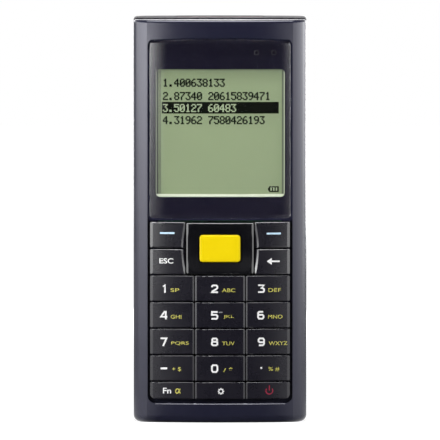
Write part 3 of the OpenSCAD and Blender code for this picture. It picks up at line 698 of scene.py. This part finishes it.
mid_z = middle("key_minus")
legend("key_minus", [plane(-20.0 * MM, -17.8 * MM, mid_z - 0.4 * MM, mid_z + 0.22 * MM, face_y)],
       white_ink, "bar")
legend("key_minus", [lettering("+ $", -16.1 * MM, -13.1 * MM, mid_z - 1.1 * MM, 1.5 * MM)],
       yellow_ink, "letters")

mid_z = middle("key_dot")
legend("key_dot", [plane(13.6 * MM, 14.2 * MM, mid_z - 0.2 * MM, mid_z + 0.4 * MM, face_y)],
       white_ink, "point")
legend("key_dot", [lettering("% #", 16.3 * MM, 20.0 * MM, mid_z - 1.0 * MM, 1.4 * MM)],
       yellow_ink, "letters")

mid_z = middle("key_function")
legend("key_function", [lettering("Fn", -19.2 * MM, -16.45 * MM, mid_z - 1.0 * MM, 1.9 * MM, 0.015)],
       white_ink, "word")
alpha = [(0.8, 0.76), (0.5, 0.1), (0.1, -0.6), (-0.35, -0.76), (-0.7, -0.4), (-0.76, 0.1), (-0.5, 0.6),
         (-0.1, 0.76), (0.3, 0.5), (0.58, -0.3), (0.85, -0.76)]
alpha = [((x - 14.2) * MM, mid_z + (z - 0.15) * MM) for x, z in alpha]
legend("key_function", [stroke(alpha, 0.32 * MM)], yellow_ink, "letter")

sun_x = 0.3 * MM
sun_z = middle("key_backlight") - 0.2 * MM
sun = [ring(sun_x, sun_z, 0.88 * MM, 0.52 * MM)]
for i in range(8):
    ray = plane(-0.14 * MM, 0.14 * MM, 0.86 * MM, 1.12 * MM, 0)
    turn = Matrix.Rotation(math.radians(45 * i), 4, "Y")
    for vertex in ray.data.vertices:
        vertex.co = turn @ vertex.co + Vector((sun_x, face_y, sun_z))
    sun.append(ray)
legend("key_backlight", sun, white_ink, "sun")

mid_z = middle("key_power")
power_x, power_z, power_r = 16.6 * MM, mid_z - 0.05 * MM, 1.15 * MM
turns = [math.radians(degrees) for degrees in range(55, 306, 10)]
arc = [(power_x - power_r * math.sin(turn), power_z + power_r * math.cos(turn)) for turn in turns]
bar = plane(power_x - 0.17 * MM, power_x + 0.17 * MM, mid_z, mid_z + 1.75 * MM, face_y)
legend("key_power", [stroke(arc, 0.36 * MM), bar], red_ink, "mark")

mid_z = middle("key_escape")
legend("key_escape", [lettering("ESC", -20.4 * MM, -15.7 * MM, mid_z - 0.6 * MM, 1.8 * MM, 0.02)],
       white_ink, "word")

arrow_z = middle("key_back") + 0.15 * MM
shaft = plane(17.0 * MM, 20.05 * MM, arrow_z - 0.27 * MM, arrow_z + 0.27 * MM, face_y)
bpy.ops.object.select_all(action="DESELECT")
bpy.ops.mesh.primitive_circle_add(vertices=3, radius=1, fill_type="NGON")
head = bpy.context.object
corners = [Vector((15.7 * MM, face_y, arrow_z)), Vector((17.4 * MM, face_y, arrow_z + 1.15 * MM)),
           Vector((17.4 * MM, face_y, arrow_z - 1.15 * MM))]
for vertex, corner in zip(head.data.vertices, corners):
    vertex.co = corner
legend("key_back", [shaft, head], white_ink, "arrow")

# the soft keys' bars: left and right end, and height over the key's middle
for key, x0, x1, up in (("key_soft_left", -20.2, -15.3, 0.62), ("key_soft_right", 15.7, 20.5, 0.46)):
    bar_z = middle(key) + up * MM
    legend(key, [plane(x0 * MM, x1 * MM, bar_z - 0.3 * MM, bar_z + 0.3 * MM, face_y)], blue_ink, "bar")


# ---- Mat, carrier and dome sheet ----
# Under the caps lie the silicone mat with its collars, the web that carries the ring, and a
# translucent polyester sheet with the metal domes.

mat_rubber = surface("mat_rubber", 0.6, 4, ((0.02, 0.02, 0.022), (0.028, 0.028, 0.03)), (0.5, 0.7),
                     fine=(0.15, 0.006))
finish(["keypad_mat", "nav_plate"], mat_rubber)

dome_foil = surface("dome_foil", 0.3, 5, ((0.62, 0.62, 0.56), (0.7, 0.7, 0.64)), (0.25, 0.4),
                    fine=(3.0, 0.02))
finish(["dome_sheet"], dome_foil)


# ---- Arrow ring and scan key ----
# The ring is polished black plastic with a dished face. The scan key inside it is a yellow
# cap with soft edges and a satin face.

ring_gloss = surface("ring_gloss", 0.12, 6, ((0.004, 0.004, 0.006), (0.006, 0.006, 0.008)), (0.1, 0.16),
                     fine=(0.5, 0.0006), Coat_Weight=0.8, Coat_Roughness=0.05)
finish(["nav_ring"], ring_gloss)

scan_yellow = surface("scan_yellow", 0.38, 6, ((0.80, 0.60, 0.001), (0.84, 0.64, 0.002)), (0.34, 0.42),
                      fine=(0.25, 0.003), Specular_IOR_Level=0.1)
finish(["scan_key"], scan_yellow)


# ---- Main board ----
# Glass epoxy under green solder resist, with copper tracks that show as slightly raised,
# lighter lines. The chips are black moulded epoxy.

board_green, shader, add = new_material("board_green", 0.35)
link = shader.id_data.links.new
place = add("TexCoord").outputs["Object"]
upright = add("Mapping", {"Vector": place, "Rotation": (math.radians(90), 0, 0)}).outputs["Vector"]
tracks = add("TexBrick", {"Vector": upright, "Scale": 1.0, "Mortar Size": 0.12 * MM,
                          "Brick Width": 4 * MM, "Row Height": 1.1 * MM,
                          "Color1": (0.01, 0.09, 0.035, 1), "Color2": (0.012, 0.11, 0.04, 1),
                          "Mortar": (0.03, 0.2, 0.08, 1)})
link(tracks.outputs["Color"], shader.inputs["Base Color"])
bump = add("Bump", {"Height": tracks.outputs["Fac"], "Distance": 0.02 * MM})
link(bump.outputs["Normal"], shader.inputs["Normal"])
finish(["main_board"], board_green)

chip_epoxy = surface("chip_epoxy", 0.55, 3, ((0.02, 0.02, 0.022), (0.03, 0.03, 0.032)), (0.5, 0.65),
                     fine=(0.1, 0.006))
finish(["board_chips"], chip_epoxy)


# ---- Scan engine, window and speaker ----
# The engine is a small die casting with a coated optic. It looks out through a dark red
# window. The speaker is a black moulded frame with a paper cone.

casting = metal("casting", ((0.36, 0.37, 0.38), (0.44, 0.45, 0.46)), (0.4, 0.55), 0.25, 1, 0.008)
finish(["scan_engine"], casting)

optic = surface("optic", 0.06, 2, ((0.10, 0.01, 0.02), (0.14, 0.015, 0.03)), (0.04, 0.1),
                Coat_Weight=1.0)
finish(["scan_lens"], optic)

red_plastic = clear_plastic("red_plastic", (0.25, 0.006, 0.012), 0.4, 0.05)
finish(["scan_window"], red_plastic)

speaker_black = surface("speaker_black", 0.65, 2, ((0.02, 0.02, 0.022), (0.03, 0.03, 0.032)),
                        (0.6, 0.75), fine=(0.2, 0.01))
finish(["speaker"], speaker_black)


# ---- Battery and contacts ----
# The battery is a black moulded case. Its blades and the four cradle contacts are gold
# plated over brass, with fine rubbing marks.

battery_case = surface("battery_case", 0.5, 10, ((0.03, 0.03, 0.036), (0.036, 0.036, 0.042)),
                       (0.45, 0.55), fine=(0.25, 0.006))
finish(["battery_pack"], battery_case)

gold = metal("gold", ((0.78, 0.55, 0.19), (0.88, 0.66, 0.28)), (0.18, 0.32), 0.15, 5, 0.002)
finish(["battery_contacts", "dock_contacts"], gold)


# ---- Studio ----
# A pale floor in a white room that is dark in front of the object, a softbox overhead, two
# wide ones at the sides that the long edges catch while the face stays dark, and a fill behind.


def mirrored_rays(add, path):
    """One for rays that come off a gloss or through the clear lens, nought for the others."""
    return add("Math", {0: path.outputs["Is Glossy Ray"], 1: path.outputs["Is Transmission Ray"]},
               operation="MAXIMUM").outputs[0]


bpy.ops.object.select_all(action="DESELECT")
bpy.ops.mesh.primitive_plane_add(size=1, location=(0, 0, 0))
floor = bpy.context.object
floor.name = "floor"
floor_front, floor_back, floor_half = -1.0, 2.0, 2.0
for vertex in floor.data.vertices:
    vertex.co = Vector((floor_half if vertex.co.x > 0 else -floor_half,
                        floor_back if vertex.co.y > 0 else floor_front, 0))
floor_white, shader, add = new_material("floor_white", 0.9, Specular_IOR_Level=0.0)
link = shader.id_data.links.new
place = add("TexCoord").outputs["Object"]
away = add("VectorMath", {0: place}, operation="LENGTH").outputs["Value"]
split = add("SeparateXYZ", {"Vector": place})

# in the object's own gloss the floor glows behind it, and beside it from 14 mm off the middle
behind = add("MapRange", {"Value": split.outputs["Y"], "From Min": -0.25, "From Max": 0.05,
                          "To Min": 0.03, "To Max": 0.5})
further = add("MapRange", {"Value": away, "From Min": 0.1, "From Max": 1.8, "To Min": 0.2, "To Max": 1.0})
back_part = add("Math", {0: behind.outputs["Result"], 1: further.outputs["Result"]}, operation="MULTIPLY")
across = add("Math", {0: split.outputs["X"]}, operation="ABSOLUTE")
beside = add("Math", {0: across.outputs[0], 1: 14 * MM}, operation="SUBTRACT")
aside = add("Math", {0: beside.outputs[0], 1: away}, operation="DIVIDE")
opened = add("MapRange", {"Value": aside.outputs[0], "From Min": 0.22, "From Max": 0.45})
softened = add("Math", {0: opened.outputs["Result"], 1: 2.0}, operation="POWER")
front = add("MapRange", {"Value": split.outputs["Y"], "From Min": -0.05, "From Max": 0.1,
                         "To Min": 1.3, "To Max": 0.4})
side_part = add("Math", {0: softened.outputs[0], 1: front.outputs["Result"]}, operation="MULTIPLY")
shine = add("Math", {0: back_part.outputs[0], 1: side_part.outputs[0]}, operation="MAXIMUM")

# to the camera it is white, a little duller near the object, and under the lamps grey paper
path = add("LightPath")
mirror = mirrored_rays(add, path)
paper = add("Mix", {"Factor": mirror, "A": (0.35, 0.35, 0.35, 1), "B": (0, 0, 0, 1)}, data_type="RGBA")
link(paper.outputs["Result"], shader.inputs["Base Color"])
mirrored = add("Math", {0: mirror, 1: shine.outputs[0]}, operation="MULTIPLY")
level = add("MapRange", {"Value": away, "From Min": 0.15, "From Max": 0.5, "To Min": 0.8, "To Max": 1.0})
direct = add("Math", {0: path.outputs["Is Camera Ray"], 1: level.outputs["Result"]}, operation="MULTIPLY")
glow = add("Math", {0: direct.outputs[0], 1: mirrored.outputs[0]}, operation="ADD")
shader.inputs["Emission Color"].default_value = (1, 1, 1, 1)
link(glow.outputs[0], shader.inputs["Emission Strength"])
floor.data.materials.append(floor_white)

# the room is plain white to the camera; a gloss sees it lit at the back and along the horizon
world = bpy.data.worlds.new("white_room")
scene.world = world
world.use_nodes = True
tree = world.node_tree
add = node_adder(tree)
background = tree.nodes["Background"]
background.inputs["Color"].default_value = (1, 1, 1, 1)
path = add("LightPath")
split = add("SeparateXYZ", {"Vector": add("TexCoord").outputs["Generated"]})
behind = add("MapRange", {"Value": split.outputs["Y"], "From Min": -0.6, "From Max": 0.9,
                          "To Min": 0.03, "To Max": 1.0})
horizon = add("MapRange", {"Value": split.outputs["Z"], "From Min": -0.02, "From Max": 0.04,
                           "To Min": 0.25, "To Max": 3.0})
higher = add("MapRange", {"Value": split.outputs["Z"], "From Min": 0.12, "From Max": 0.37,
                          "To Min": 1.0, "To Max": 0.25})
sky = add("Math", {0: behind.outputs["Result"], 1: horizon.outputs["Result"]}, operation="MULTIPLY")
wall = add("Math", {0: sky.outputs[0], 1: higher.outputs["Result"]}, operation="MULTIPLY")
room = add("Mix", {"Factor": mirrored_rays(add, path), "A": 0.05, "B": wall.outputs[0]})
strength = add("Mix", {"Factor": path.outputs["Is Camera Ray"], "A": room.outputs["Result"], "B": 1.0})
tree.links.new(strength.outputs["Result"], background.inputs["Strength"])


def panel(name, turn, height, distance, wide, tall, glow, edge=0.0, levels=(1.0, 1.0), foot_level=0.1):
    """A softbox turned this many degrees from the front, facing the axis; lengths in metres.

    A side softbox falls off over its front edge, a share of its width. Its glow also changes
    between two levels from front to back, and grows from foot_level at the floor to full.
    """
    angle = math.radians(turn)
    place = Vector((distance * math.sin(angle), -distance * math.cos(angle), height))
    bpy.ops.object.select_all(action="DESELECT")
    bpy.ops.object.light_add(type="AREA", location=place)
    lamp = bpy.context.object
    lamp.name = name
    lamp.visible_camera = False
    lamp.data.shape = "RECTANGLE"
    lamp.data.size = wide
    lamp.data.size_y = tall
    lamp.data.energy = glow * math.pi * wide * tall
    lamp.rotation_mode = "QUATERNION"
    highest_aim = 0.13
    aim = Vector((0, 0, min(height, highest_aim)))
    lamp.rotation_quaternion = (place - aim).to_track_quat("Z", "Y")
    if not edge:
        return
    lamp.data.use_nodes = True
    tree = lamp.data.node_tree
    add = node_adder(tree)
    split = add("SeparateXYZ", {"Vector": add("NewGeometry").outputs["Parametric"]})

    def ramp(axis, start, end, low, high=1.0):
        return add("MapRange", {"Value": split.outputs[axis], "From Min": start, "From Max": end,
                                "To Min": low, "To Max": high}).outputs["Result"]

    front, back = (1, 0) if turn < 0 else (0, 1)
    fall = ramp("X", front, front + (back - front) * edge, 0)
    grow = ramp("X", front + (back - front) * 0.3, front + (back - front) * 0.9, *levels)
    foot = (tall / 2 - height) / tall
    climb_height = 0.1
    climb = add("Math", {0: ramp("Y", foot, foot + climb_height / tall, 0), 1: 1.7}, operation="POWER")
    rise = add("MapRange", {"Value": climb.outputs[0], "To Min": foot_level}).outputs["Result"]
    # the fall counts twice, so that the front edge starts softly
    level = fall
    for part in (fall, grow, rise):
        level = add("Math", {0: level, 1: part}, operation="MULTIPLY").outputs[0]
    tree.links.new(level, tree.nodes["Emission"].inputs["Strength"])


panel("left_side", -68, 0.09, 0.45, 1.07, 0.22, 9.4, 0.115, (1.0, 0.3), 0.125)
panel("right_side", 75, 0.09, 0.45, 1.25, 0.22, 6.8, 0.067, (0.45, 1.0), 0.28)
panel("overhead", 0, 0.45, 0.10, 0.25, 0.20, 12.5)
panel("back_fill", 170, 0.09, 0.6, 0.5, 0.12, 8)

camera_distance = 5.0
elevation = math.radians(3.2)
view_width = 147.9 * MM
sensor_width = 36
aim = Vector((0, cad_low.y, 68.4 * MM))
camera_data = bpy.data.cameras.new("camera")
camera_data.sensor_width = sensor_width
camera_data.lens = sensor_width * camera_distance / view_width
camera_data.clip_start = 0.05
camera_data.clip_end = 20
camera = bpy.data.objects.new("camera", camera_data)
camera.location = aim + camera_distance * Vector((0, -math.cos(elevation), math.sin(elevation)))
camera.rotation_euler = (math.radians(90) - elevation, 0, 0)
scene.collection.objects.link(camera)
scene.camera = camera
scene.view_settings.view_transform = "Standard"
